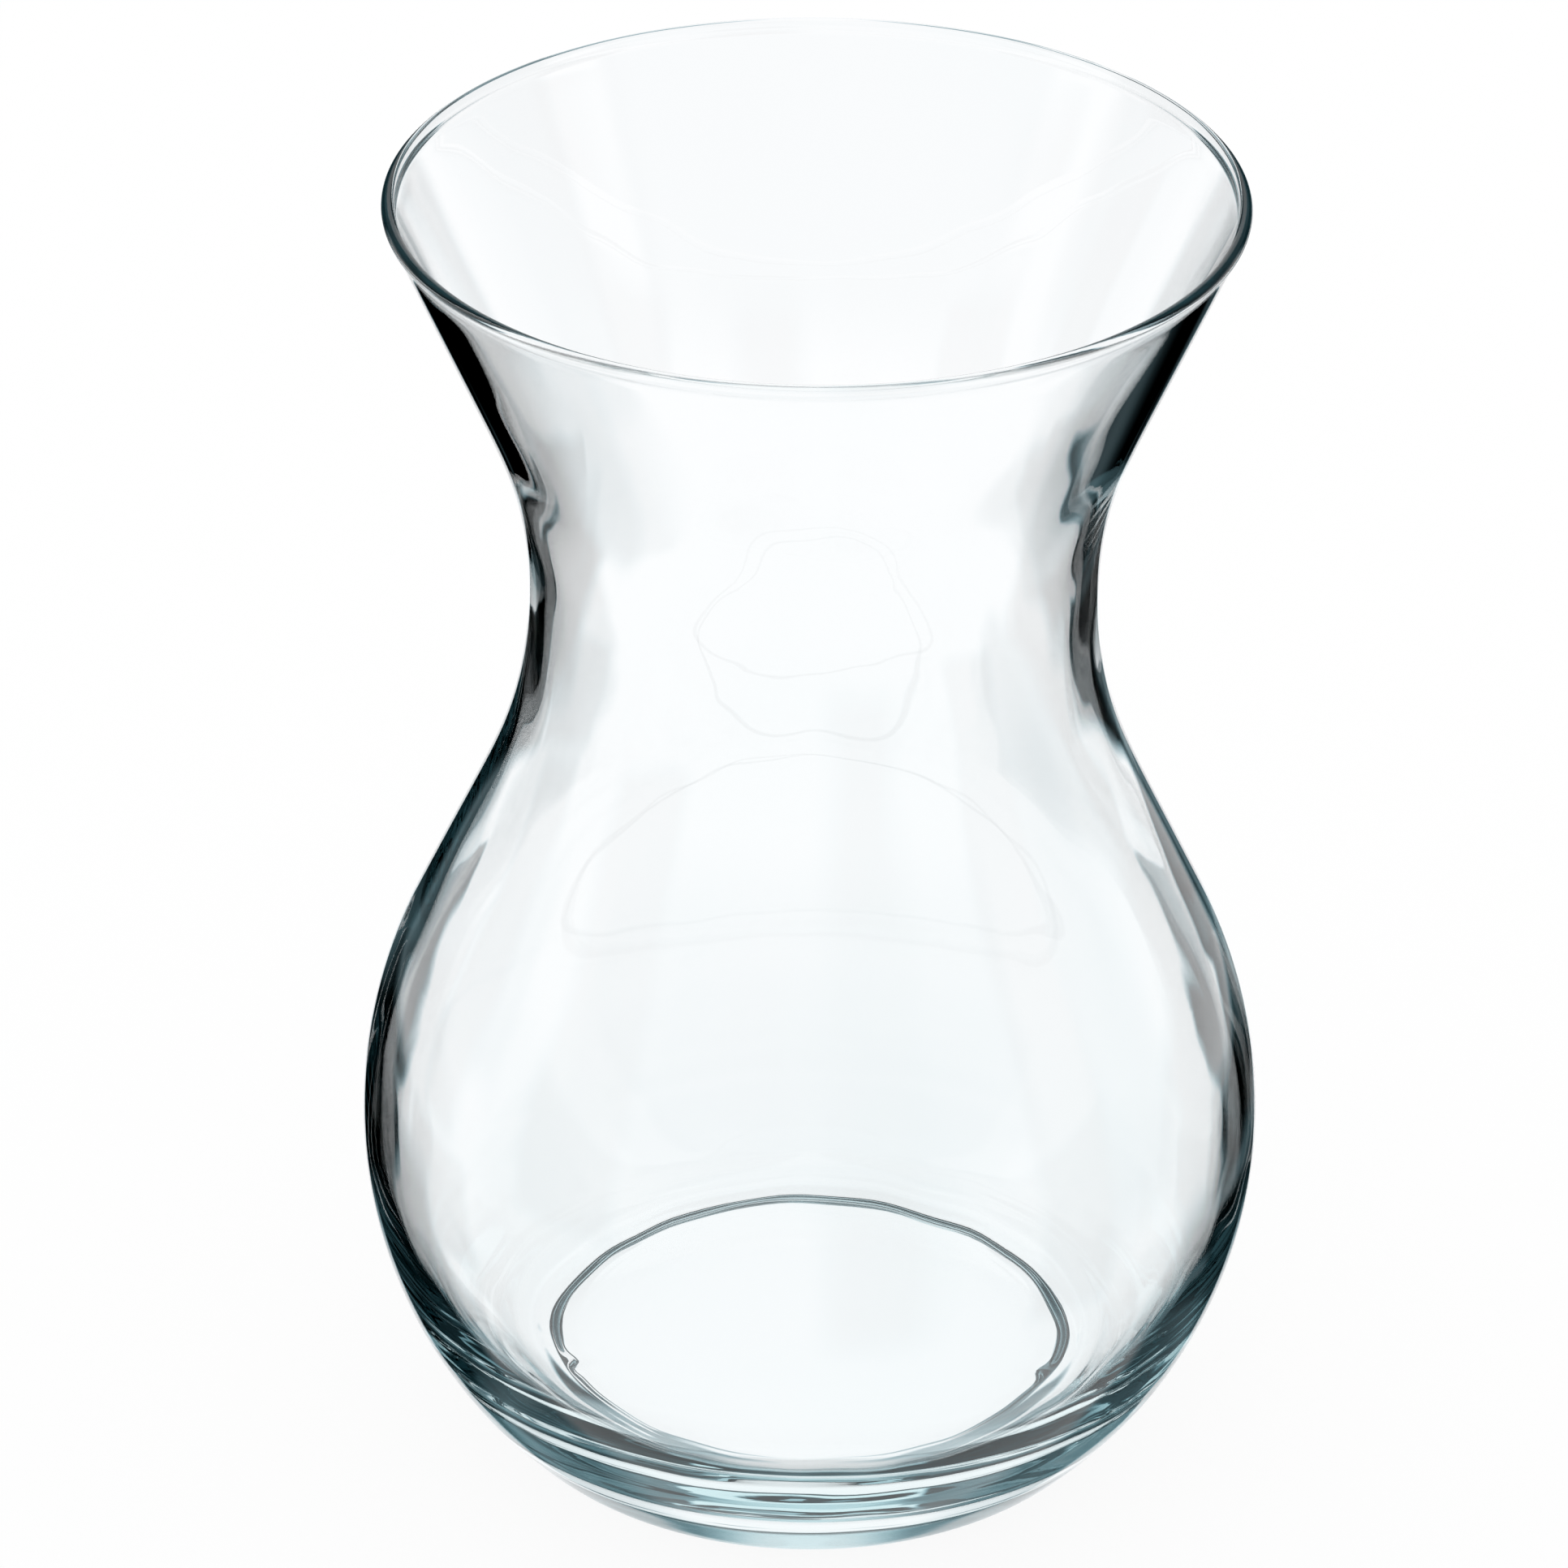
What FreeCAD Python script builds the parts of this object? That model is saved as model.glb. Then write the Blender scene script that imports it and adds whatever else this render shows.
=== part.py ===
import FreeCAD
import Part

import math
import os

import Sketcher

# Hyacinth forcing vase: one piece of clear soda-lime glass, pressed and blown in a mould.
#
# The vase is a body of revolution about Z. It stands on a narrow flat ring at Z = 0 with a push-up
# inside it. Above are the round reservoir, the pinched waist that carries the plant's bulb, and a cup
# that flares to a fire-polished lip. The wall is thin from the lip to the shoulder, grows below the
# widest place and is thickest at the heel and the floor.
# Lengths are millimetres. The origin is the centre of the standing ring, and +Z points up.

NODE = "glass_vase"
GLASS_DENSITY = 2.5  # g/cm3
CUBIC_MM_PER_CM = 1000.0

# Driving dimensions: alias, value, what it is
SIZES = [
    ("total_height", 170.0, "standing ring to the top of the lip"),
    ("rim_diameter", 102.8, "outside, across the lip"),
    ("waist_diameter", 69.3, "outside, at the narrowest place"),
    ("waist_height", 117.0, "lower end of the straight stretch at the waist"),
    ("waist_land_height", 3.4, "straight stretch at the waist"),
    ("bulb_diameter", 113.9, "outside, at the widest place of the reservoir"),
    ("bulb_height", 41.3, "level of the widest place"),
    ("foot_diameter", 73.4, "outside of the flat standing ring"),
    ("heel_radius", 7.1, "outline between the reservoir and the standing ring"),
    ("standing_ring_width", 1.9, "flat ring that touches the table"),
    ("push_up_height", 2.0, "rise of the underside at its centre"),
    ("push_up_dome_radius", 700.0, "very flat dome of the push-up"),
    ("push_up_step_radius", 1.2, "both roundings of the step from the ring to the dome"),
    ("neck_wall", 2.0, "glass thickness at the waist, thinner towards the lip"),
    ("bulb_wall", 2.4, "glass thickness at the widest place"),
    ("floor_thickness", 4.8, "glass thickness at the centre of the floor"),
    ("lip_radius", 0.85, "fire-polished round lip"),
    ("lip_outer_reach", 0.62, "from the lip's centre out to the line of the cup's outside"),
    ("lip_inner_reach", 0.33, "from the lip's centre in to the line of the cup's inside"),
    ("under_lip_radius", 1.6, "hollows that lead from both sides of the cup to the lip"),
    ("cup_straight_share", 0.64, "straight stretch, of the way from the waist to the lip"),
    ("shoulder_straight_share", 0.3, "straight stretch, of the way from the reservoir to the waist"),
    ("waist_bend_share", 0.496, "waist's radius, of that and the reservoir's radius together"),
    ("floor_flat_share", 0.615, "flat of the floor, of the inside radius at the widest place"),
    ("cavity_corner_share", 0.5, "corner radius, of the way from that flat to the wall"),
]

UP = FreeCAD.Vector(0, 0, 1)

# How a sketch numbers its origin, its axes and the centre of an arc
ORIGIN = (-1, 1)
H_AXIS_INDEX = -1
V_AXIS_INDEX = -2
CENTRE_INDEX = 3

# Directions in the plane of the section, in radians
OUT = 0.0
IN = math.pi
TOP = math.pi / 2
BOTTOM = -math.pi / 2


def make_sheet(doc):
    """Puts each driving dimension in a cell of its own, under its alias."""
    sheet = doc.addObject("Spreadsheet::Sheet", "sizes")
    for row, (alias, value, note) in enumerate(SIZES, start=1):
        sheet.set(f"A{row}", alias)
        sheet.set(f"B{row}", str(value))
        sheet.setAlias(f"B{row}", alias)
        sheet.set(f"C{row}", note)
    doc.recompute()
    return sheet


def point(radius, height):
    """A point of the section: its distance from the axis, and its height."""
    return FreeCAD.Vector(radius, height, 0)


def facing(angle):
    """Unit vector in the plane of the section."""
    return point(math.cos(angle), math.sin(angle))


def angle_of(way):
    return math.atan2(way.y, way.x)


def tangent_angle(way, reach, side):
    """Angle of the unit vector n, on the given side of way, for which way . n equals reach."""
    return angle_of(way) + side * math.acos(reach / way.Length)


def at_reaches(first, first_reach, second, second_reach):
    """The point at these distances from two points, left of the way from the first to the second."""
    way = second - first
    along = (way.Length**2 + first_reach**2 - second_reach**2) / (2 * way.Length)
    aside = math.sqrt(first_reach**2 - along**2)
    return first + facing(angle_of(way)) * along + facing(angle_of(way) + TOP) * aside


def touching_radius(run, rise, corner):
    """Radius of an arc that starts upright and, run and rise further on, holds a corner's centre.

    The corner's arc touches it from inside and starts flat, one corner radius below that centre.
    """
    return (run**2 + rise**2 - corner**2) / (2 * (run - corner))


class Section:
    """The closed outline of the glass on one side of the axis, drawn in order from the underside."""

    def __init__(self, sketch):
        self.sketch = sketch
        self.pieces = {}

    def arc(self, name, centre, radius, first, last):
        """An arc that runs from the angle first to the angle last, either way round."""
        circle = Part.Circle(centre, UP, radius)
        curve = Part.ArcOfCircle(circle, min(first, last), max(first, last))
        ends = (1, 2) if last > first else (2, 1)
        self.pieces[name] = (self.sketch.addGeometry(curve, False), *ends)

    def line(self, name, first, last):
        curve = Part.LineSegment(first, last)
        self.pieces[name] = (self.sketch.addGeometry(curve, False), 1, 2)

    def whole(self, name):
        return self.pieces[name][0]

    def start(self, name):
        index, first, _ = self.pieces[name]
        return index, first

    def end(self, name):
        index, _, last = self.pieces[name]
        return index, last

    def centre(self, name):
        return self.whole(name), CENTRE_INDEX

    def rule(self, kind, *where):
        return self.sketch.addConstraint(Sketcher.Constraint(kind, *where))

    def smooth(self, first, second):
        """The end of the first piece runs smoothly into the start of the second."""
        self.rule("Tangent", *self.end(first), *self.start(second))

    def size(self, name, expression, kind, *where):
        """Adds a dimension, at the value that the outline has, and ties it to the sheet."""
        index = self.rule(kind, *where)
        self.sketch.renameConstraint(index, name)
        self.sketch.setExpression(f"Constraints.{name}", expression)

    def radius(self, name, value, expression):
        self.size(f"{name}_radius", expression, "Radius", self.whole(name), value)

    def length(self, name, value, expression):
        self.size(f"{name}_length", expression, "Distance", self.whole(name), value)

    def reach(self, name, where, line, value, expression):
        self.size(f"{name}_reach", expression, "Distance", *where, self.whole(line), value)

    def level(self, name, where, value, expression):
        self.size(f"{name}_level", expression, "DistanceY", *ORIGIN, *where, value)

    def offset(self, name, where, value, expression):
        self.size(f"{name}_offset", expression, "DistanceX", *ORIGIN, *where, value)


def draw_section(sketch, sheet):
    """Draws the outline at the sizes in the sheet, then ties every piece of it to the sheet."""
    size = {alias: float(getattr(sheet, alias)) for alias, _, _ in SIZES}
    neck_wall = size["neck_wall"]
    bulb_wall = size["bulb_wall"]
    bulb_height = size["bulb_height"]
    waist_height = size["waist_height"]
    waist_top = waist_height + size["waist_land_height"]
    waist_radius = size["waist_diameter"] / 2
    bulb_radius = size["bulb_diameter"] / 2

    # Foot: the ring, the step that rises from it and the dome
    foot_radius = size["foot_diameter"] / 2
    ring_radius = foot_radius - size["standing_ring_width"]
    dome_radius = size["push_up_dome_radius"]
    dome_centre = point(0, size["push_up_height"] - dome_radius)
    step_radius = size["push_up_step_radius"]
    step_foot = point(ring_radius, step_radius)
    step_top = at_reaches(dome_centre, dome_radius - step_radius, step_foot, 2 * step_radius)
    dome_angle = angle_of(step_top - dome_centre)
    step_angle = angle_of(step_foot - step_top)

    # Outside of the reservoir, below the widest place
    heel_radius = size["heel_radius"]
    heel_rise = bulb_height - heel_radius
    lower_radius = touching_radius(bulb_radius - foot_radius, heel_rise, heel_radius)
    lower_centre = point(bulb_radius - lower_radius, bulb_height)
    heel_centre = point(foot_radius, heel_radius)
    heel_angle = angle_of(heel_centre - lower_centre)

    # Shoulder: a straight stretch between the arcs of the reservoir and the waist
    drawn_in = bulb_radius - waist_radius
    shoulder_chord = math.hypot(drawn_in, waist_height - bulb_height)
    shoulder_length = size["shoulder_straight_share"] * shoulder_chord
    both_radii = (shoulder_chord**2 - shoulder_length**2) / (2 * drawn_in)
    below_radius = size["waist_bend_share"] * both_radii
    upper_radius = both_radii - below_radius
    upper_centre = point(bulb_radius - upper_radius, bulb_height)
    below_centre = point(waist_radius + below_radius, waist_height)
    shoulder_way = below_centre - upper_centre
    shoulder_angle = tangent_angle(shoulder_way, both_radii, -1)

    # Cup: two straight sides that pass the centre of the round lip and touch the arcs round the waist
    bead_radius = size["lip_radius"]
    bead_centre = point(size["rim_diameter"] / 2 - bead_radius, size["total_height"] - bead_radius)
    outer_reach = size["lip_outer_reach"]
    inner_reach = size["lip_inner_reach"]
    flare = bead_centre.x - waist_radius
    cup_chord = math.hypot(flare, bead_centre.y - waist_top)
    cup_length = size["cup_straight_share"] * cup_chord
    above_radius = (cup_chord**2 - cup_length**2 - outer_reach**2) / (2 * (flare + outer_reach))
    above_centre = point(waist_radius + above_radius, waist_top)
    cup_way = bead_centre - above_centre
    cup_angle = tangent_angle(cup_way, above_radius + outer_reach, 1)
    cup_normal = facing(cup_angle)
    throat_high_radius = above_radius + neck_wall
    inside_angle = tangent_angle(cup_way, throat_high_radius - inner_reach, 1)
    inside_normal = facing(inside_angle)

    # Hollows under the lip: each touches one side of the cup and the lip
    hollow_radius = size["under_lip_radius"]
    hollow_drop = outer_reach + hollow_radius
    hollow_run = math.sqrt((bead_radius + hollow_radius) ** 2 - hollow_drop**2)
    hollow_centre = bead_centre - cup_normal * hollow_drop
    hollow_centre -= facing(cup_angle - TOP) * hollow_run
    hollow_angle = angle_of(bead_centre - hollow_centre)
    inside_drop = inner_reach + hollow_radius
    inside_run = math.sqrt((bead_radius + hollow_radius) ** 2 - inside_drop**2)
    inside_centre = bead_centre + inside_normal * inside_drop
    inside_centre -= facing(inside_angle - TOP) * inside_run
    inside_turn = angle_of(bead_centre - inside_centre)

    # Cavity
    cavity_radius = bulb_radius - bulb_wall
    floor_radius = size["floor_flat_share"] * cavity_radius
    floor_height = size["push_up_height"] + size["floor_thickness"]
    corner_run = cavity_radius - floor_radius
    corner_radius = size["cavity_corner_share"] * corner_run
    corner_centre = point(floor_radius, floor_height + corner_radius)
    cavity_low_radius = touching_radius(corner_run, bulb_height - corner_centre.y, corner_radius)
    cavity_low_centre = point(cavity_radius - cavity_low_radius, bulb_height)
    corner_angle = angle_of(corner_centre - cavity_low_centre)
    cavity_high_radius = upper_radius - bulb_wall
    throat_low_radius = below_radius + neck_wall
    inner_angle = tangent_angle(shoulder_way, cavity_high_radius + throat_low_radius, -1)
    inner_facing = facing(inner_angle)

    outline = Section(sketch)

    # Underside and outside, from the axis up to the lip
    outline.arc("dome", dome_centre, dome_radius, TOP, dome_angle)
    outline.arc("step_top", step_top, step_radius, dome_angle, step_angle)
    outline.arc("step_foot", step_foot, step_radius, step_angle - IN, BOTTOM)
    outline.line("ring", point(ring_radius, 0), point(foot_radius, 0))
    outline.arc("heel", heel_centre, heel_radius, BOTTOM, heel_angle)
    outline.arc("bulb_low", lower_centre, lower_radius, heel_angle, OUT)
    outline.arc("bulb_high", upper_centre, upper_radius, OUT, shoulder_angle)
    outline.line(
        "shoulder",
        upper_centre + facing(shoulder_angle) * upper_radius,
        below_centre - facing(shoulder_angle) * below_radius,
    )
    outline.arc("waist_low", below_centre, below_radius, shoulder_angle + IN, IN)
    outline.line("waist", point(waist_radius, waist_height), point(waist_radius, waist_top))
    outline.arc("waist_high", above_centre, above_radius, IN, cup_angle)
    outline.line(
        "cup",
        above_centre + cup_normal * above_radius,
        hollow_centre + cup_normal * hollow_radius,
    )
    outline.arc("hollow", hollow_centre, hollow_radius, cup_angle, hollow_angle)
    outline.arc("lip", bead_centre, bead_radius, hollow_angle - IN, TOP)

    # Inside, from the top of the lip down to the axis
    outline.arc("lip_inside", bead_centre, bead_radius, TOP, inside_turn + IN)
    outline.arc("hollow_inside", inside_centre, hollow_radius, inside_turn, inside_angle - IN)
    outline.line(
        "cup_inside",
        inside_centre - inside_normal * hollow_radius,
        above_centre + inside_normal * throat_high_radius,
    )
    outline.arc("throat_high", above_centre, throat_high_radius, inside_angle, IN)
    outline.line(
        "throat",
        above_centre - point(throat_high_radius, 0),
        below_centre - point(throat_low_radius, 0),
    )
    outline.arc("throat_low", below_centre, throat_low_radius, IN, inner_angle + IN)
    outline.line(
        "shoulder_inside",
        below_centre - inner_facing * throat_low_radius,
        upper_centre + inner_facing * cavity_high_radius,
    )
    outline.arc("cavity_high", upper_centre, cavity_high_radius, inner_angle, OUT)
    outline.arc("cavity_low", cavity_low_centre, cavity_low_radius, OUT, corner_angle)
    outline.arc("corner", corner_centre, corner_radius, corner_angle, BOTTOM)
    outline.line("floor", point(floor_radius, floor_height), point(0, floor_height))
    outline.line("axis", point(0, floor_height), point(0, size["push_up_height"]))

    # Each piece runs smoothly into the next, but for the two corners on the axis
    order = list(outline.pieces)
    for first, second in zip(order[:-2], order[1:-1]):
        outline.smooth(first, second)
    outline.rule("Coincident", *outline.end("floor"), *outline.start("axis"))
    outline.rule("Coincident", *outline.end("axis"), *outline.start("dome"))

    # Foot
    outline.rule("PointOnObject", *outline.start("dome"), V_AXIS_INDEX)
    outline.rule("PointOnObject", *outline.centre("dome"), V_AXIS_INDEX)
    outline.rule("PointOnObject", *outline.start("ring"), H_AXIS_INDEX)
    outline.rule("Horizontal", outline.whole("ring"))
    outline.radius("dome", dome_radius, "sizes.push_up_dome_radius")
    outline.radius("step_top", step_radius, "sizes.push_up_step_radius")
    outline.radius("step_foot", step_radius, "sizes.push_up_step_radius")
    outline.radius("heel", heel_radius, "sizes.heel_radius")
    outline.length("ring", foot_radius - ring_radius, "sizes.standing_ring_width")
    outline.level("dome", outline.start("dome"), size["push_up_height"], "sizes.push_up_height")
    outline.offset("foot", outline.end("ring"), foot_radius, "sizes.foot_diameter / 2")

    # Reservoir, shoulder and waist
    widest = outline.end("bulb_low")
    narrowest = outline.start("waist")
    drop = "(sizes.waist_height - sizes.bulb_height)"
    inset = "(sizes.bulb_diameter - sizes.waist_diameter) / 2"
    chord = f"sqrt({drop} ^ 2 + ({inset}) ^ 2)"
    bend = f"(1 - sizes.shoulder_straight_share ^ 2) * ({chord}) ^ 2 / (2 * {inset})"
    outline.rule("Horizontal", *outline.centre("bulb_low"), *widest)
    outline.rule("Vertical", outline.whole("waist"))
    outline.level("widest", widest, bulb_height, "sizes.bulb_height")
    outline.offset("widest", widest, bulb_radius, "sizes.bulb_diameter / 2")
    outline.level("narrowest", narrowest, waist_height, "sizes.waist_height")
    outline.offset("narrowest", narrowest, waist_radius, "sizes.waist_diameter / 2")
    outline.length("waist", waist_top - waist_height, "sizes.waist_land_height")
    outline.length("shoulder", shoulder_length, f"sizes.shoulder_straight_share * {chord}")
    outline.radius("waist_low", below_radius, f"sizes.waist_bend_share * {bend}")

    # Cup and lip
    bead = "sizes.lip_radius"
    hollow = "sizes.under_lip_radius"
    outer = "sizes.lip_outer_reach"
    bead_offset = f"sizes.rim_diameter / 2 - {bead}"
    bead_level = f"sizes.total_height - {bead}"
    run = f"({bead_offset} - sizes.waist_diameter / 2)"
    climb = f"({bead_level} - sizes.waist_height - sizes.waist_land_height)"
    outline.radius("hollow", hollow_radius, hollow)
    outline.radius("hollow_inside", hollow_radius, hollow)
    outline.radius("lip", bead_radius, bead)
    outline.radius("lip_inside", bead_radius, bead)
    outline.rule("Vertical", *outline.centre("lip"), *outline.end("lip"))
    outline.offset("lip", outline.centre("lip"), bead_centre.x, bead_offset)
    outline.level("lip", outline.centre("lip"), bead_centre.y, bead_level)
    outline.reach("lip_outer", outline.centre("lip"), "cup", outer_reach, outer)
    outline.reach(
        "lip_inner", outline.centre("lip"), "cup_inside", inner_reach, "sizes.lip_inner_reach"
    )
    straight = f"sizes.cup_straight_share * sqrt({run} ^ 2 + {climb} ^ 2)"
    last = f"sqrt(({bead} + {hollow}) ^ 2 - ({outer} + {hollow}) ^ 2)"
    outline.length("cup", cup_length - hollow_run, f"{straight} - {last}")

    # Cavity: the same centres as outside in the cup, the throat and the upper reservoir
    inner_widest = outline.end("cavity_high")
    inner_radius = "(sizes.bulb_diameter / 2 - sizes.bulb_wall)"
    flat = f"sizes.floor_flat_share * {inner_radius}"
    corner = f"sizes.cavity_corner_share * (1 - sizes.floor_flat_share) * {inner_radius}"
    floor_level = "sizes.push_up_height + sizes.floor_thickness"
    throat_offset = "sizes.waist_diameter / 2 - sizes.neck_wall"
    for inner, outer in (
        ("throat_high", "waist_high"),
        ("throat_low", "waist_low"),
        ("cavity_high", "bulb_high"),
    ):
        outline.rule("Coincident", *outline.centre(inner), *outline.centre(outer))
    outline.rule("Vertical", outline.whole("throat"))
    outline.offset("throat", outline.start("throat"), waist_radius - neck_wall, throat_offset)
    outline.rule("Horizontal", *outline.centre("cavity_low"), *inner_widest)
    outline.offset("inner_widest", inner_widest, cavity_radius, inner_radius)
    outline.radius("corner", corner_radius, corner)
    outline.rule("Horizontal", outline.whole("floor"))
    outline.length("floor", floor_radius, flat)
    outline.rule("PointOnObject", *outline.end("floor"), V_AXIS_INDEX)
    outline.level("floor", outline.end("floor"), floor_height, floor_level)


def origin_plane(body, role):
    return next(plane for plane in body.Origin.OriginFeatures if plane.Role == role)


def make_vase(doc, sheet):
    """The vase: its section, turned once round the axis."""
    body = doc.addObject("PartDesign::Body", NODE)
    body.Label = NODE
    sketch = body.newObject("Sketcher::SketchObject", "glass_section")
    sketch.AttachmentSupport = [(origin_plane(body, "XZ_Plane"), "")]
    sketch.MapMode = "FlatFace"
    draw_section(sketch, sheet)
    doc.recompute()
    turn = body.newObject("PartDesign::Revolution", "blown_form")
    turn.Profile = sketch
    turn.ReferenceAxis = (sketch, ["V_Axis"])
    turn.Angle = 360.0
    doc.recompute()
    return body, sketch


def check(doc, body, sketch):
    """Stops before anything is written if a feature failed or the section is loose."""
    for item in doc.Objects:
        if "Invalid" in item.State or "Error" in item.State:
            raise RuntimeError(f"{item.Label} failed: {item.State}")
    if sketch.solve() != 0 or not sketch.FullyConstrained:
        raise RuntimeError("the section isn't fully tied to the sheet")
    shape = body.Shape
    if shape.isNull() or not shape.isValid() or len(shape.Solids) != 1:
        raise RuntimeError("the vase isn't one valid solid")


def main():
    doc = FreeCAD.newDocument("hyacinth_vase")
    sheet = make_sheet(doc)
    vase, section = make_vase(doc, sheet)
    check(doc, vase, section)
    os.makedirs("parts", exist_ok=True)
    vase.Shape.exportStep(os.path.join("parts", f"{vase.Label}.step"))
    box = vase.Shape.optimalBoundingBox(False, False)
    volume = vase.Shape.Volume / CUBIC_MM_PER_CM
    print(f"{vase.Label}: {box.XLength:.2f} x {box.YLength:.2f} x {box.ZLength:.2f} mm")
    print(f"{volume:.1f} cm3 of glass, {volume * GLASS_DENSITY:.0f} g")
    for constraint in section.Constraints:
        if constraint.Type in ("Radius", "Distance"):
            print(f"  {constraint.Name} {constraint.Value:.2f} mm")


main()
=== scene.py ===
import math

import bmesh
import bpy
from mathutils import Matrix, Vector, noise


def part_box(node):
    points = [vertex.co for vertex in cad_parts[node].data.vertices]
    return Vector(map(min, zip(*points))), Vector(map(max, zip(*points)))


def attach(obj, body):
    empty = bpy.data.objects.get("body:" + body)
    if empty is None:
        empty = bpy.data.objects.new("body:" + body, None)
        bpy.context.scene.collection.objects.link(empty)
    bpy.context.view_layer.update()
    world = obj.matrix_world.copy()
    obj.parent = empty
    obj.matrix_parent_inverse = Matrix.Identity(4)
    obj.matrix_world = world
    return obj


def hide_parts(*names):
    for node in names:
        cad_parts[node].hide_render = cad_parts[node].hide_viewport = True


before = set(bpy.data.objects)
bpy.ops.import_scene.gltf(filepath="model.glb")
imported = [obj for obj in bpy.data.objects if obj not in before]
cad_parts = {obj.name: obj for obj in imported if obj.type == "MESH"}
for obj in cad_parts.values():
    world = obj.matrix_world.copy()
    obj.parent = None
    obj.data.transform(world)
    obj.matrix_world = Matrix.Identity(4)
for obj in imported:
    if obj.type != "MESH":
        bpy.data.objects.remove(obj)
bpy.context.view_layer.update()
mm = 0.001
weld = 0.01 * mm
countEdge = 0.1

# Glass vase: lengths in millimetres, shares of the stretch that they are named after. The drawn
# section's waist is smoothed in turns, over a reach below and above it
vase = {
    "rimDiameter": 102.8,
    "waistDiameter": 69.3,
    "waistHeight": 117.0,
    "waistLand": 3.4,
    "bulbHeight": 41.3,
    "footDiameter": 73.4,
    "heelRadius": 7.1,
    "ringWidth": 1.9,
    "pushUp": 2.0,
    "domeRadius": 700.0,
    "stepRadius": 1.2,
    "neckWall": 2.0,
    "bulbWall": 2.4,
    "floorThickness": 4.8,
    "beadRadius": 0.85,
    "lipOut": 0.62,
    "lipIn": 0.33,
    "hollowRadius": 1.6,
    "cupStraightShare": 0.64,
    "shoulderStraightShare": 0.3,
    "waistBendShare": 0.496,
    "floorFlatShare": 0.615,
    "cornerShare": 0.5,
    "smoothReach": 34.0,
    "smoothTurns": 36,
    "smoothShare": 0.5,
    "around": 230,
    "fineStep": 0.4,
    "wallStep": 1.15,
    "floorStep": 2.0,
}

# Unevenness of the blown wall in millimetres. A wave is (depth, width, height) of the swells, then
# the place in the noise that it starts from. A fade is (where it starts, where it is full). A kink
# of the push-up's step is (compass from +X towards +Y in degrees, half width, way in)
uneven = {
    "inside": [(0.16, 26.0, 40.0, 5.0), (0.05, 7.0, 22.0, 16.3)],
    "outside": [(0.05, 30.0, 30.0, 0.0), (0.012, 9.0, 14.0, 11.3)],
    "throat": (0.12, 9.0, 12.0, 90.0),
    "throatFade": (20.0, 6.0),
    "chillInside": (0.075, 60.0, 3.0, 49.0),
    "chillOutside": (0.075, 60.0, 3.0, 40.0),
    "chillFade": (24.0, 13.2),
    "wrinkle": (0.05, 2.4, 16.0, 70.0),
    "wrinklePlace": (41.0, -32.0, 16.0),
    "wrinkleFade": (13.0, 3.0),
    "step": (0.35, 9.0, 3.7),
    "stepInFade": (6.0, 1.5),
    "stepUpFade": (0.0, 0.8),
    "stepMargin": 0.5,
    "kinks": [(194, 3.5, 1.1), (199, 2.5, -0.8), (343, 3.0, 0.9), (336, 4.0, -0.5)],
    "lipFade": (1.0, 4.0),
    "footFade": (0.1, 2.0),
    "cavityFacing": -0.02,
    "floorFacing": 0.7,
    "floorTop": 20.0,
}


def at(radius, height):
    return Vector((radius, 0.0, height))


def facing(angle):
    return at(math.cos(angle), math.sin(angle))


def angleOf(way):
    return math.atan2(way.z, way.x)


# Angle of the unit vector, on one side of way, that reaches so far along it
def tangentAngle(way, reach, side):
    return angleOf(way) + side * math.acos(reach / way.length)


# Radius of an arc that starts upright and holds the centre of a corner that it touches from outside
def touchingRadius(run, rise, corner):
    return (run**2 + rise**2 - corner**2) / (2 * (run - corner))


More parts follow.
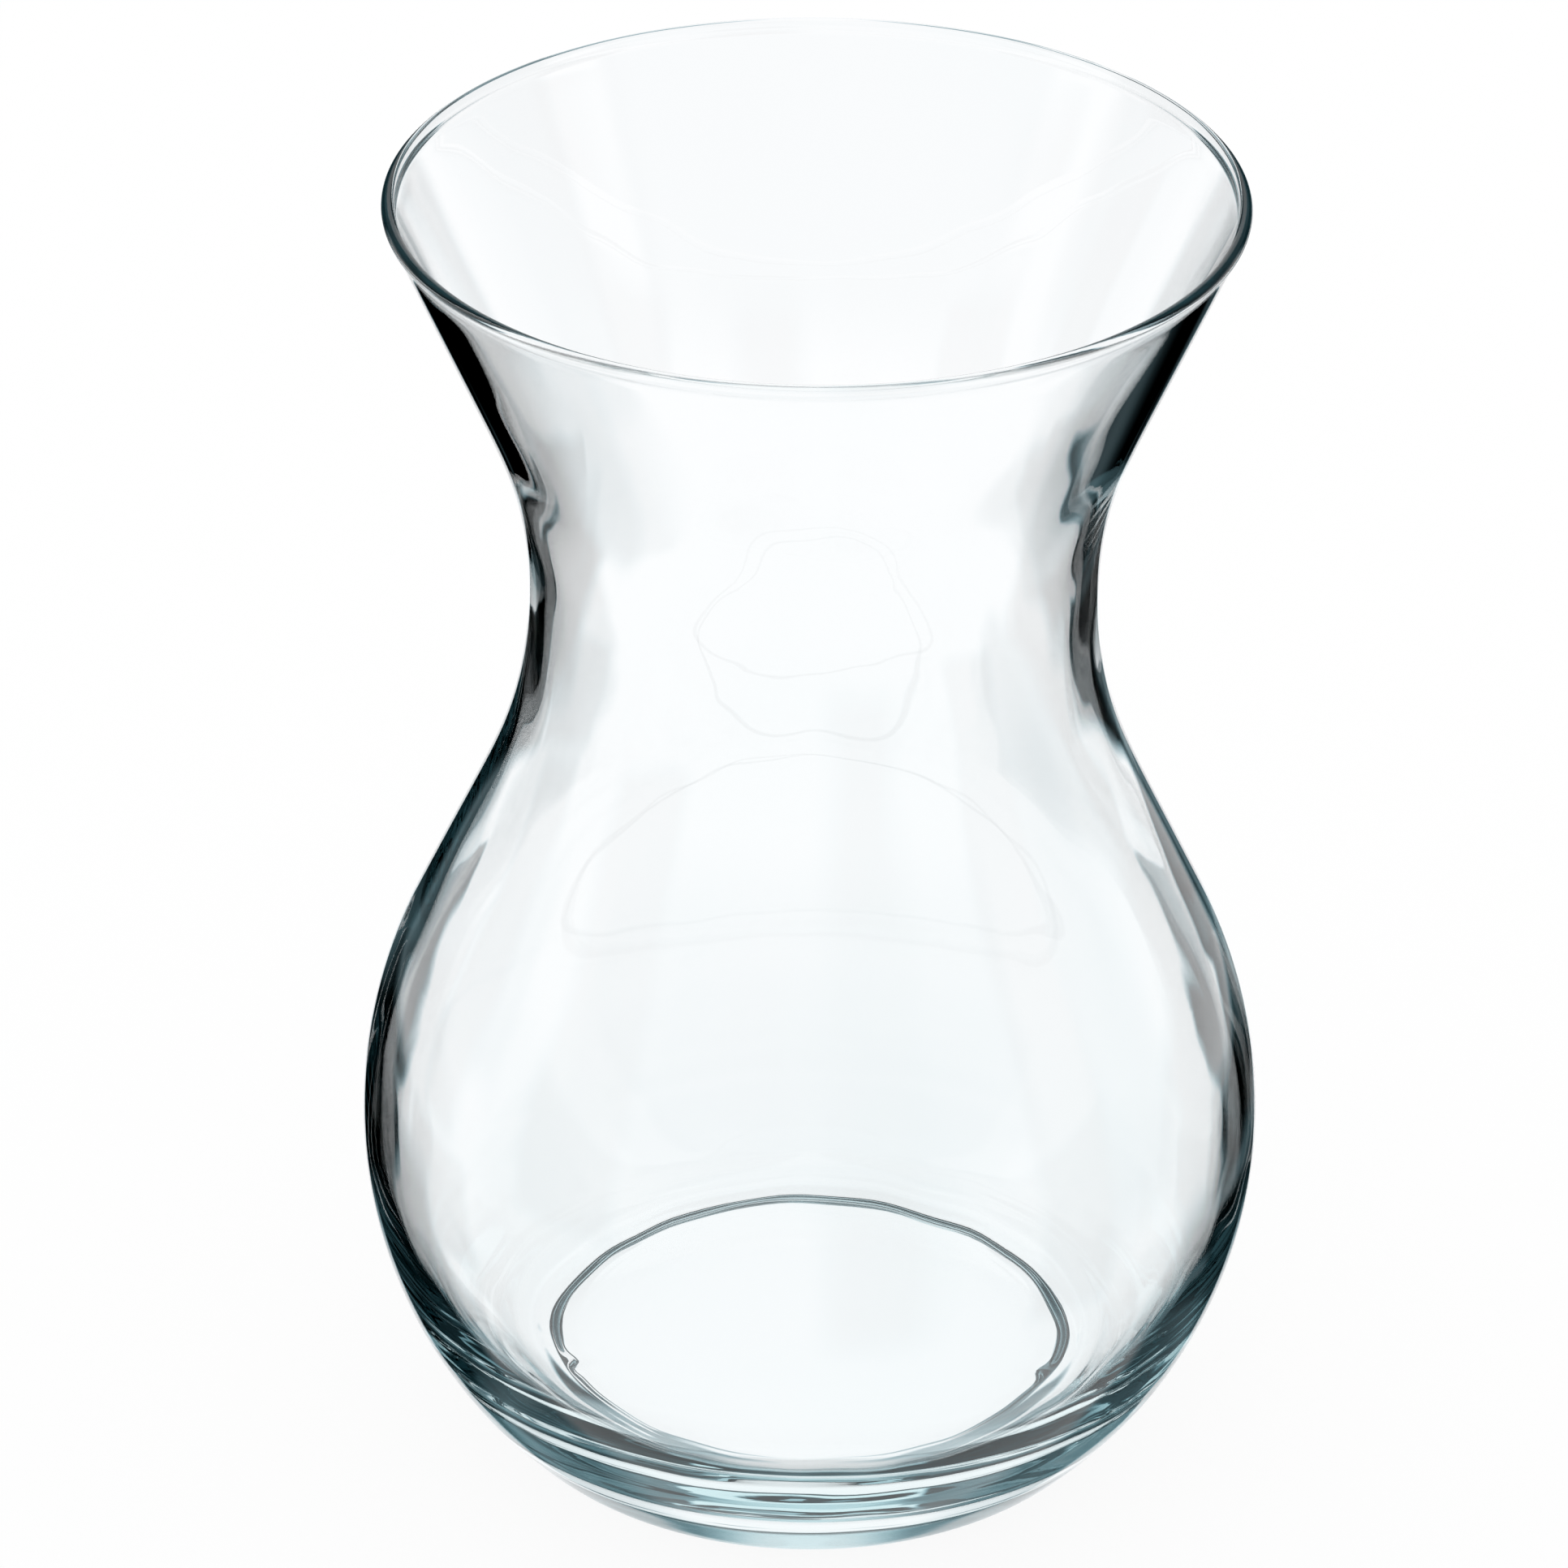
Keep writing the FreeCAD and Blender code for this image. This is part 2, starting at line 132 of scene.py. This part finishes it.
# The section's arcs and straight stretches in order, from the middle of the underside to the
# middle of the floor: an arc is (centre, sweep, step), a straight stretch is (end, None, step)
def sectionOf(v, height, bulbDiameter):
    fine, wall, flat = v["fineStep"], v["wallStep"], v["floorStep"]
    rightAngle = math.pi / 2
    waistRadius = v["waistDiameter"] / 2
    bulbRadius = bulbDiameter / 2
    footRadius = v["footDiameter"] / 2
    ringRadius = footRadius - v["ringWidth"]
    waistTop = v["waistHeight"] + v["waistLand"]

    step = v["stepRadius"]
    domeCentre = at(0, v["pushUp"] - v["domeRadius"])
    stepFoot = at(ringRadius, step)
    toFoot = stepFoot - domeCentre
    along = (toFoot.length**2 + (v["domeRadius"] - step) ** 2 - 4 * step**2) / (2 * toFoot.length)
    aside = math.sqrt((v["domeRadius"] - step) ** 2 - along**2)
    toFootAngle = angleOf(toFoot)
    stepTop = domeCentre + facing(toFootAngle) * along + facing(toFootAngle + rightAngle) * aside
    domeAngle = angleOf(stepTop - domeCentre)
    stepAngle = angleOf(stepFoot - stepTop)

    heel = v["heelRadius"]
    lowRadius = touchingRadius(bulbRadius - footRadius, v["bulbHeight"] - heel, heel)
    lowCentre = at(bulbRadius - lowRadius, v["bulbHeight"])
    heelCentre = at(footRadius, heel)
    heelAngle = angleOf(heelCentre - lowCentre)

    drawnIn = bulbRadius - waistRadius
    shoulderChord = math.hypot(drawnIn, v["waistHeight"] - v["bulbHeight"])
    shoulderLength = v["shoulderStraightShare"] * shoulderChord
    bothRadii = (shoulderChord**2 - shoulderLength**2) / (2 * drawnIn)
    belowRadius = v["waistBendShare"] * bothRadii
    upperRadius = bothRadii - belowRadius
    upperCentre = at(bulbRadius - upperRadius, v["bulbHeight"])
    belowCentre = at(waistRadius + belowRadius, v["waistHeight"])
    shoulderWay = belowCentre - upperCentre
    shoulderAngle = tangentAngle(shoulderWay, bothRadii, -1)

    bead = v["beadRadius"]
    beadCentre = at(v["rimDiameter"] / 2 - bead, height - bead)
    flare = beadCentre.x - waistRadius
    cupChord = math.hypot(flare, beadCentre.z - waistTop)
    cupLength = v["cupStraightShare"] * cupChord
    aboveRadius = (cupChord**2 - cupLength**2 - v["lipOut"] ** 2) / (2 * (flare + v["lipOut"]))
    aboveCentre = at(waistRadius + aboveRadius, waistTop)
    toBead = beadCentre - aboveCentre
    cupAngle = tangentAngle(toBead, aboveRadius + v["lipOut"], 1)
    cupNormal = facing(cupAngle)
    insideAngle = tangentAngle(toBead, aboveRadius + v["neckWall"] - v["lipIn"], 1)
    insideNormal = facing(insideAngle)

    hollow = v["hollowRadius"]
    hollowDrop = v["lipOut"] + hollow
    hollowRun = math.sqrt((bead + hollow) ** 2 - hollowDrop**2)
    hollowCentre = beadCentre - cupNormal * hollowDrop - facing(cupAngle - rightAngle) * hollowRun
    hollowAngle = angleOf(beadCentre - hollowCentre)
    insideDrop = v["lipIn"] + hollow
    insideRun = math.sqrt((bead + hollow) ** 2 - insideDrop**2)
    insideCentre = beadCentre + insideNormal * insideDrop
    insideCentre -= facing(insideAngle - rightAngle) * insideRun
    insideTurn = angleOf(insideCentre - beadCentre) % (2 * math.pi)

    cavityRadius = bulbRadius - v["bulbWall"]
    floorRadius = v["floorFlatShare"] * cavityRadius
    floorHeight = v["pushUp"] + v["floorThickness"]
    cornerRun = cavityRadius - floorRadius
    corner = v["cornerShare"] * cornerRun
    cornerCentre = at(floorRadius, floorHeight + corner)
    cavityLowRadius = touchingRadius(cornerRun, v["bulbHeight"] - cornerCentre.z, corner)
    cavityLowCentre = at(cavityRadius - cavityLowRadius, v["bulbHeight"])
    cornerAngle = angleOf(cornerCentre - cavityLowCentre)
    innerReach = upperRadius - v["bulbWall"] + belowRadius + v["neckWall"]
    innerAngle = tangentAngle(shoulderWay, innerReach, -1)

    return [
        (domeCentre, domeAngle - rightAngle, flat),
        (stepTop, stepAngle - domeAngle, fine),
        (stepFoot, math.pi - rightAngle - stepAngle, fine),
        (at(footRadius, 0), None, fine),
        (heelCentre, heelAngle + rightAngle, fine),
        (lowCentre, -heelAngle, fine * 1.5),
        (upperCentre, shoulderAngle, wall),
        (belowCentre - facing(shoulderAngle) * belowRadius, None, wall),
        (belowCentre, -shoulderAngle, wall),
        (at(waistRadius, waistTop), None, wall),
        (aboveCentre, cupAngle - math.pi, wall),
        (hollowCentre + cupNormal * hollow, None, wall),
        (hollowCentre, hollowAngle - cupAngle, fine / 2),
        (beadCentre, rightAngle - hollowAngle + math.pi, fine / 2),
        (beadCentre, insideTurn - rightAngle, fine / 2),
        (insideCentre, insideAngle - insideTurn, fine / 2),
        (aboveCentre + insideNormal * (aboveRadius + v["neckWall"]), None, wall),
        (aboveCentre, math.pi - insideAngle, wall),
        (at(waistRadius - v["neckWall"], v["waistHeight"]), None, wall),
        (belowCentre, innerAngle, wall),
        (upperCentre + facing(innerAngle) * (upperRadius - v["bulbWall"]), None, wall),
        (upperCentre, -innerAngle, wall),
        (cavityLowCentre, cornerAngle, wall),
        (cornerCentre, -rightAngle - cornerAngle, fine * 1.5),
        (at(0, floorHeight), None, flat),
    ]


# Draws one stretch of the section from the vertex tip, and gives the vertex where it ends
def drawStretch(bm, tip, stretch):
    place, sweep, step = stretch
    if sweep is None:
        way = place * mm - tip.co
        count = max(1, round(way.length / (step * mm)))
        for _ in range(count):
            tip = bmesh.ops.extrude_vert_indiv(bm, verts=[tip])["verts"][0]
            tip.co += way / count
        return tip
    centre = place * mm
    count = max(2, round(abs(sweep) * (tip.co - centre).length / (step * mm)))
    made = bmesh.ops.spin(
        bm, geom=[tip], cent=centre, axis=(0, -1, 0), angle=sweep, steps=count
    )
    return next(part for part in made["geom_last"] if isinstance(part, bmesh.types.BMVert))


def swellOf(place, wave):
    depth, width, height, start = wave
    return depth * noise.noise(Vector((place.x / width, place.y / width, place.z / height + start)))


# 0 at the start of a fade, 1 where it is full, smooth between
def faded(value, fade):
    start, full = fade
    share = min(1.0, max(0.0, (value - start) / (full - start)))
    return share * share * (3 - 2 * share)


# How far the step of the push-up wanders from its round course, and which way
def stepAt(place, radius, stepRadius, out):
    depth, width, start = uneven["step"]
    wander = depth * noise.noise(Vector((place.x / width, place.y / width, start)))
    turn = math.degrees(math.atan2(place.y, place.x)) % 360
    for middle, half, way in uneven["kinks"]:
        wander -= way * math.exp(-(((turn - middle) / half) ** 2))
    near = faded(stepRadius - radius, uneven["stepInFade"])
    return out * wander * near * faded(place.z, uneven["stepUpFade"])


# How far the glass at a place, both in millimetres, stands off the true form, and which way
def unevenAt(place, normal, height):
    radius = math.hypot(place.x, place.y)
    if radius * mm < weld:
        return Vector()
    out = Vector((place.x / radius, place.y / radius, 0))
    stepRadius = vase["footDiameter"] / 2 - vase["ringWidth"]
    margin = uneven["stepMargin"]
    if place.z < vase["pushUp"] + margin and radius < stepRadius + margin:
        return stepAt(place, radius, stepRadius, out)
    onFloor = normal.z > uneven["floorFacing"] and place.z < uneven["floorTop"]
    inside = onFloor or normal.dot(out) < uneven["cavityFacing"]
    swell = sum(swellOf(place, wave) for wave in uneven["inside" if inside else "outside"])
    if inside:
        middle = vase["waistHeight"] + vase["waistLand"]
        near = faded(abs(place.z - middle), uneven["throatFade"])
        swell += near * swellOf(place, uneven["throat"])
    chill = uneven["chillInside" if inside else "chillOutside"]
    swell += faded(place.z, uneven["chillFade"]) * swellOf(place, chill)
    away = (place - Vector(uneven["wrinklePlace"])).length
    if not inside:
        swell += faded(away, uneven["wrinkleFade"]) * swellOf(place, uneven["wrinkle"])
    lip = faded(height - place.z, uneven["lipFade"])
    return normal * swell * lip * faded(place.z, uneven["footFade"])


def blowVase():
    low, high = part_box("glass_vase")
    size = (high - low) / mm
    bm = bmesh.new()
    tip = bm.verts.new(at(0, vase["pushUp"] * mm))
    for stretch in sectionOf(vase, size.z, size.x):
        tip = drawStretch(bm, tip, stretch)
    tip.co.x = 0.0
    waist, reach = vase["waistHeight"], vase["smoothReach"]
    throat = [vert for vert in bm.verts if abs(vert.co.z / mm - waist) < reach]
    for _ in range(vase["smoothTurns"]):
        bmesh.ops.smooth_vert(
            bm, verts=throat, factor=vase["smoothShare"], use_axis_x=True, use_axis_z=True
        )
    bmesh.ops.spin(
        bm,
        geom=bm.verts[:] + bm.edges[:],
        cent=(0, 0, 0),
        axis=(0, 0, 1),
        angle=2 * math.pi,
        steps=vase["around"],
        use_merge=True,
    )
    bmesh.ops.remove_doubles(bm, verts=bm.verts[:], dist=weld)
    bmesh.ops.recalc_face_normals(bm, faces=bm.faces[:])
    bm.normal_update()
    shifts = [unevenAt(vert.co / mm, vert.normal, size.z) * mm for vert in bm.verts]
    for vert, shift in zip(bm.verts, shifts):
        vert.co += shift
    mesh = bpy.data.meshes.new("blown_vase")
    bm.to_mesh(mesh)
    bm.free()
    mesh.polygons.foreach_set("use_smooth", [True] * len(mesh.polygons))
    vaseObject = bpy.data.objects.new("blown_vase", mesh)
    bpy.context.scene.collection.objects.link(vaseObject)
    return vaseObject


# Shader nodes for sums, masks and noise
class Maths:
    def __init__(self, tree):
        self.tree = tree

    def node(self, operation, *values):
        made = self.tree.nodes.new("ShaderNodeMath")
        made.operation = operation
        for socket, value in zip(made.inputs, values):
            if isinstance(value, (int, float)):
                socket.default_value = value
            else:
                self.tree.links.new(value, socket)
        return made.outputs[0]

    # 0 below low, 1 above high, smooth between
    def ramp(self, value, low, high):
        made = self.tree.nodes.new("ShaderNodeMapRange")
        made.interpolation_type = "SMOOTHSTEP"
        made.inputs["From Min"].default_value = low
        made.inputs["From Max"].default_value = high
        self.tree.links.new(value, made.inputs["Value"])
        return made.outputs["Result"]

    # 1 where a whole number has reached the count, otherwise 0
    def reached(self, value, count):
        return self.ramp(value, count - 1 + countEdge, count - countEdge)

    # 1 where a whole number is under the count, otherwise 0
    def under(self, value, count):
        return self.ramp(value, count - countEdge, count - 1 + countEdge)

    # Noise between 0 and 1, with the place stretched by scale
    def noise(self, place, scale, detail):
        stretch = self.tree.nodes.new("ShaderNodeMapping")
        stretch.inputs["Scale"].default_value = scale
        self.tree.links.new(place, stretch.inputs["Vector"])
        made = self.tree.nodes.new("ShaderNodeTexNoise")
        made.inputs["Scale"].default_value = 1.0
        made.inputs["Detail"].default_value = detail
        self.tree.links.new(stretch.outputs["Vector"], made.inputs["Vector"])
        return made.outputs["Fac"]

    # 1 between the two values, 0 outside, soft at both ends
    def between(self, value, low, high, soft):
        rising = self.ramp(value, low - soft, low + soft)
        falling = self.ramp(value, high + soft, high - soft)
        return self.node("MULTIPLY", rising, falling)

    # From one value to another as the mask goes from 0 to 1
    def blend(self, start, end, mask):
        made = self.tree.nodes.new("ShaderNodeMix")
        made.data_type = "FLOAT"
        for name, value in (("Factor", mask), ("A", start), ("B", end)):
            if isinstance(value, (int, float)):
                made.inputs[name].default_value = value
            else:
                self.tree.links.new(value, made.inputs[name])
        return made.outputs["Result"]


# Clear soda-lime glass: colour and density of the absorption per metre of glass, and its surface.
# A noise is (scale per metre along x, y and z, detail), a ramp is (where 0, where 1), and tops,
# heights and depths are in metres
glass = {
    "ior": 1.52,
    "tint": (0.24, 0.73, 0.78, 1.0),
    "density": 5.8,
    "clear": (1.0, 1.0, 1.0, 1.0),
    "cordTint": (0.985, 0.996, 0.996, 1.0),
    "cordNoise": ((24.0, 24.0, 9.0), 3.0),
    "cordRamp": (0.45, 0.75),
    "scuffNoise": ((900.0, 900.0, 900.0), 2.0),
    "scuffRamp": (0.4, 0.65),
    "scuffHeights": (0.00025, 0.0),
    "scuffRoughness": 0.12,
    "chillNoise": ((45.0, 45.0, 850.0), 1.0),
    "chillHeights": (0.027, 0.012),
    "peelNoise": ((260.0, 260.0, 140.0), 0.0),
    "peelShare": 0.25,
    "bumpDepth": 0.000004,
}


def clearGlass():
    material = bpy.data.materials.new("clear_glass")
    material.use_nodes = True
    tree = material.node_tree
    maths = Maths(tree)
    shader = tree.nodes["Principled BSDF"]
    shader.inputs["IOR"].default_value = glass["ior"]
    shader.inputs["Transmission Weight"].default_value = 1.0
    place = tree.nodes.new("ShaderNodeTexCoord").outputs["Object"]
    split = tree.nodes.new("ShaderNodeSeparateXYZ")
    tree.links.new(place, split.inputs[0])
    level = split.outputs["Z"]

    cords = maths.noise(place, *glass["cordNoise"])
    tint = tree.nodes.new("ShaderNodeMix")
    tint.data_type = "RGBA"
    tree.links.new(maths.ramp(cords, *glass["cordRamp"]), tint.inputs["Factor"])
    tint.inputs["A"].default_value = glass["clear"]
    tint.inputs["B"].default_value = glass["cordTint"]
    tree.links.new(tint.outputs["Result"], shader.inputs["Base Color"])

    scuffs = maths.ramp(maths.noise(place, *glass["scuffNoise"]), *glass["scuffRamp"])
    onRing = maths.ramp(level, *glass["scuffHeights"])
    marks = maths.node("MULTIPLY", scuffs, onRing)
    worn = maths.node("MULTIPLY", marks, glass["scuffRoughness"])
    tree.links.new(worn, shader.inputs["Roughness"])

    heel = maths.ramp(level, *glass["chillHeights"])
    chill = maths.node("MULTIPLY", maths.noise(place, *glass["chillNoise"]), heel)
    peel = maths.node("MULTIPLY", maths.noise(place, *glass["peelNoise"]), glass["peelShare"])
    bump = tree.nodes.new("ShaderNodeBump")
    bump.inputs["Distance"].default_value = glass["bumpDepth"]
    tree.links.new(maths.node("ADD", chill, peel), bump.inputs["Height"])
    tree.links.new(bump.outputs["Normal"], shader.inputs["Normal"])

    absorb = tree.nodes.new("ShaderNodeVolumeAbsorption")
    absorb.inputs["Color"].default_value = glass["tint"]
    absorb.inputs["Density"].default_value = glass["density"]
    tree.links.new(absorb.outputs["Volume"], tree.nodes["Material Output"].inputs["Volume"])
    return material


# Camera at the photograph's place: metres and degrees, lens and sensor in millimetres
camera = {
    "back": 0.70201,
    "up": 0.50087,
    "tilt": 30.406,
    "turn": -0.2846,
    "roll": 0.3198,
    "lens": 150.37,
    "sensor": 36,
    "clip": (0.01, 20),
}


def placeCamera():
    tilt, turn = math.radians(camera["tilt"]), math.radians(camera["turn"])
    level = math.cos(tilt)
    ahead = Vector((math.sin(turn) * level, math.cos(turn) * level, -math.sin(tilt)))
    right = Vector((math.cos(turn), -math.sin(turn), 0))
    rolled = Matrix.Rotation(-math.radians(camera["roll"]), 3, ahead) @ right
    axes = Matrix((rolled, rolled.cross(ahead), -ahead)).transposed()
    data = bpy.data.cameras.new("camera")
    data.lens = camera["lens"]
    data.sensor_width = camera["sensor"]
    data.clip_start, data.clip_end = camera["clip"]
    seen = bpy.data.objects.new("camera", data)
    bpy.context.scene.collection.objects.link(seen)
    seen.matrix_world = Matrix.Translation((0, -camera["back"], camera["up"])) @ axes.to_4x4()
    bpy.context.scene.camera = seen


# Floor: half its side in metres, its own colour, and the light that lifts it to white
floor = {
    "reach": 4.0,
    "colour": 0.08,
    "lift": 0.92,
}


def layFloor():
    bm = bmesh.new()
    bmesh.ops.create_grid(bm, x_segments=1, y_segments=1, size=floor["reach"])
    mesh = bpy.data.meshes.new("floor")
    bm.to_mesh(mesh)
    bm.free()
    ground = bpy.data.objects.new("floor", mesh)
    bpy.context.scene.collection.objects.link(ground)
    material = bpy.data.materials.new("floor_white")
    material.use_nodes = True
    shader = material.node_tree.nodes["Principled BSDF"]
    level = floor["colour"]
    shader.inputs["Base Color"].default_value = (level, level, level, 1)
    shader.inputs["Roughness"].default_value = 1.0
    shader.inputs["Specular IOR Level"].default_value = 0.0
    shader.inputs["Emission Color"].default_value = (1, 1, 1, 1)
    shader.inputs["Emission Strength"].default_value = floor["lift"]
    mesh.materials.append(material)
    ground.visible_transmission = False
    ground.visible_glossy = False


# Studio round the glass, as its refracted and reflected rays see it. Angles are in degrees, and the
# compass turns from +Y towards +X. Each card is painted over the ones before it: (from compass, to
# compass, from elevation, to elevation, level of light, softness of its edges). Direct cards are
# seen by light that was never reflected, and outline cards also by light that one wall has
# reflected on its way through. Light that is guided in the wall fades over so many reflections
studio = {
    "cards": [
        (-180, 180, 5, 95, 0.65, 12),
        (-100, 118, 5, 95, 0.2, 12),
        (-112, -90, -4, 70, 1.0, 3),
        (100, 118, -4, 70, 1.0, 3),
        (-84, -10, -68, -52, 0.3, 5),
        (-70, -5, -52, -24, 0.0, 4),
        (-56, -5, -28, -18, 0.0, 1.5),
        (-40, -5, -19, -14, 0.3, 2),
        (-40, -5, -15, 14, 0.03, 4),
        (10, 60, -68, -52, 0.4, 5),
        (10, 56, -32, -21.5, 0.0, 1.5),
        (10, 68, -44, -30, 0.0, 4),
        (16, 66, -56, -42, 0.2, 4),
        (10, 44, -12, 14, 0.03, 4),
        (10, 20, -26, -10, 0.3, 3),
        (76, 100, -22, 5, 0.6, 6),
        (-13, 13, 5, 95, 0.85, 6),
        (-13.5, 13.5, -32, 14, 1.0, 0.7),
        (-14.5, 14.5, -38, -31, 1.0, 1),
        (-20, 20, -58, -36, 1.0, 2),
    ],
    "directCards": [(-60, -30, -62, -14, 1.0, 1)],
    "outlineCards": [
        (-84, -58, -34, -18, 0.05, 2),
        (-80, -64, -16, 12, 0.05, 3),
        (-130, -102, -16, 12, 0.05, 3),
        (148, 174, -34, 12, 0.05, 8),
        (97, 122, -34, 12, 0.05, 3),
    ],
    "dark": (0.55, 1.0, 1.15, 1.0),
    "white": (0.996, 1.0, 1.008, 1.0),
    "wholeTurn": 360,
    "wallCrossings": (2, 4),
    "guided": (7, 12),
    "guidedLevel": 0.08,
    "bounces": 48,
}


def lightStudio():
    world = bpy.data.worlds.new("studio")
    bpy.context.scene.world = world
    world.use_nodes = True
    tree = world.node_tree
    tree.nodes.clear()
    maths = Maths(tree)
    coordinates = tree.nodes.new("ShaderNodeTexCoord")
    split = tree.nodes.new("ShaderNodeSeparateXYZ")
    tree.links.new(coordinates.outputs["Generated"], split.inputs[0])
    x, y, z = split.outputs
    compass = maths.node("DEGREES", maths.node("ARCTAN2", x, y))
    elevation = maths.node("DEGREES", maths.node("ARCSINE", z))
    path = tree.nodes.new("ShaderNodeLightPath")
    reflected = path.outputs["Glossy Depth"]
    crossed = path.outputs["Transmission Depth"]
    fewest, tooMany = studio["wallCrossings"]
    inWall = maths.node("MULTIPLY", maths.reached(crossed, fewest), maths.under(crossed, tooMany))
    once = maths.node("MULTIPLY", maths.under(reflected, 2), inWall)
    direct = maths.under(reflected, 1)
    outline = maths.node("MAXIMUM", direct, once)
    guided = maths.ramp(reflected, *studio["guided"])
    level = 1.0
    for cards, share in (("cards", 1.0), ("directCards", direct), ("outlineCards", outline)):
        for left, right, low, high, light, soft in studio[cards]:
            mask = maths.between(elevation, low, high, soft)
            if right - left < studio["wholeTurn"]:
                across = maths.between(compass, left, right, soft)
                mask = maths.node("MULTIPLY", mask, across)
            level = maths.blend(level, light, maths.node("MULTIPLY", mask, share))
    level = maths.node("MULTIPLY", level, maths.blend(1.0, studio["guidedLevel"], guided))
    inGlass = tree.nodes.new("ShaderNodeBackground")
    tree.links.new(level, inGlass.inputs["Strength"])
    plain = tree.nodes.new("ShaderNodeBackground")
    plain.inputs["Color"].default_value = (1, 1, 1, 1)
    shade = tree.nodes.new("ShaderNodeMix")
    shade.data_type = "RGBA"
    tree.links.new(level, shade.inputs["Factor"])
    shade.inputs["A"].default_value = studio["dark"]
    shade.inputs["B"].default_value = studio["white"]
    tree.links.new(shade.outputs["Result"], inGlass.inputs["Color"])
    bent = maths.node("MAXIMUM", path.outputs["Is Transmission Ray"], path.outputs["Is Glossy Ray"])
    mix = tree.nodes.new("ShaderNodeMixShader")
    tree.links.new(bent, mix.inputs["Fac"])
    tree.links.new(plain.outputs[0], mix.inputs[1])
    tree.links.new(inGlass.outputs[0], mix.inputs[2])
    output = tree.nodes.new("ShaderNodeOutputWorld")
    tree.links.new(mix.outputs[0], output.inputs["Surface"])


bpy.context.scene.view_settings.view_transform = "Standard"
for limit in ("max_bounces", "glossy_bounces", "transmission_bounces"):
    setattr(bpy.context.scene.cycles, limit, studio["bounces"])
placeCamera()
layFloor()
lightStudio()
print("camera, floor and studio are set")

blown = blowVase()
blown.data.materials.append(clearGlass())
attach(blown, "root")
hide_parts("glass_vase")
print("vase blown:", len(blown.data.polygons), "faces")
